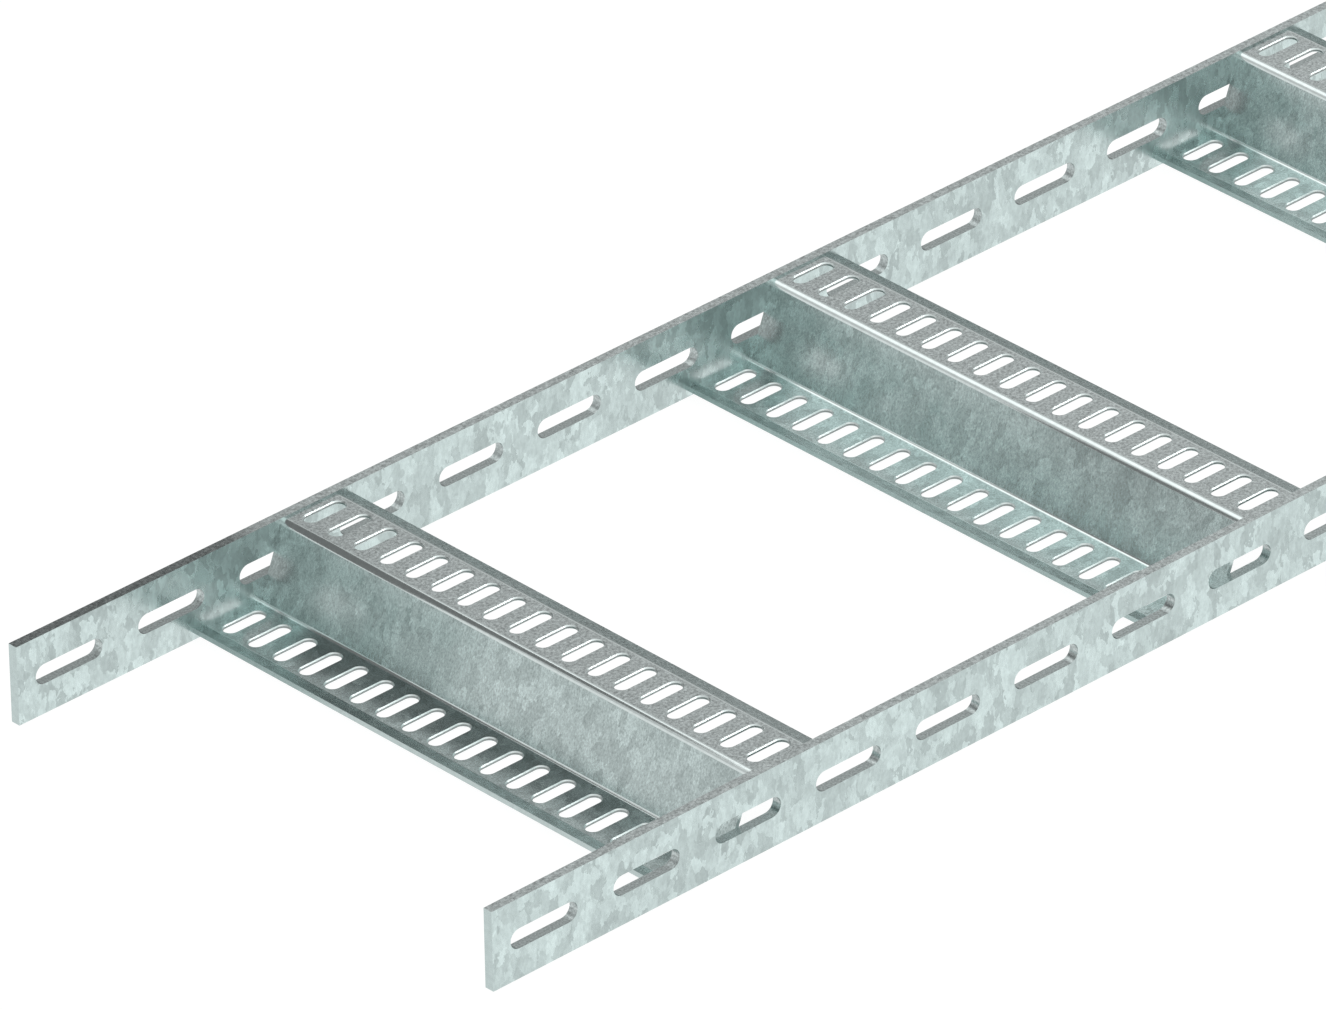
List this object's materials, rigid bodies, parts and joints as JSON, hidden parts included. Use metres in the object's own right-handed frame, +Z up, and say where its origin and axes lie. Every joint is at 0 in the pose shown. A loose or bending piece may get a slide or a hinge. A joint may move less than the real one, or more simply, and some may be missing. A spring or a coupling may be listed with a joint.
{
  "type": "cable ladder section",
  "caption": "Straight cable ladder section: slotted flat bar side rails joined by bent Z rungs with slotted flanges for clamps and ties.",
  "frame": {"origin": "middle of the section's length and width, at the level of the lower rail edges", "axes": "+X along the rails, the way the tops of the rung webs lean; +Y across, towards the left rail; +Z up"},
  "size_m": [3, 0.31, 0.04],
  "materials": {
    "galvanised_bar": "hot-dip galvanised flat bar with pale blue-grey zinc spangle",
    "galvanised_strip": "galvanised strip steel, satin blue-grey with fine grain"
  },
  "bodies": {
    "root": {"rung_01": "galvanised_strip", "rung_02": "galvanised_strip", "rung_03": "galvanised_strip", "rung_04": "galvanised_strip", "rung_05": "galvanised_strip", "rung_06": "galvanised_strip", "rung_07": "galvanised_strip", "rung_08": "galvanised_strip", "rung_09": "galvanised_strip", "rung_10": "galvanised_strip", "side_rail_left": "galvanised_bar", "side_rail_right": "galvanised_bar"}
  },
  "joints": []
}
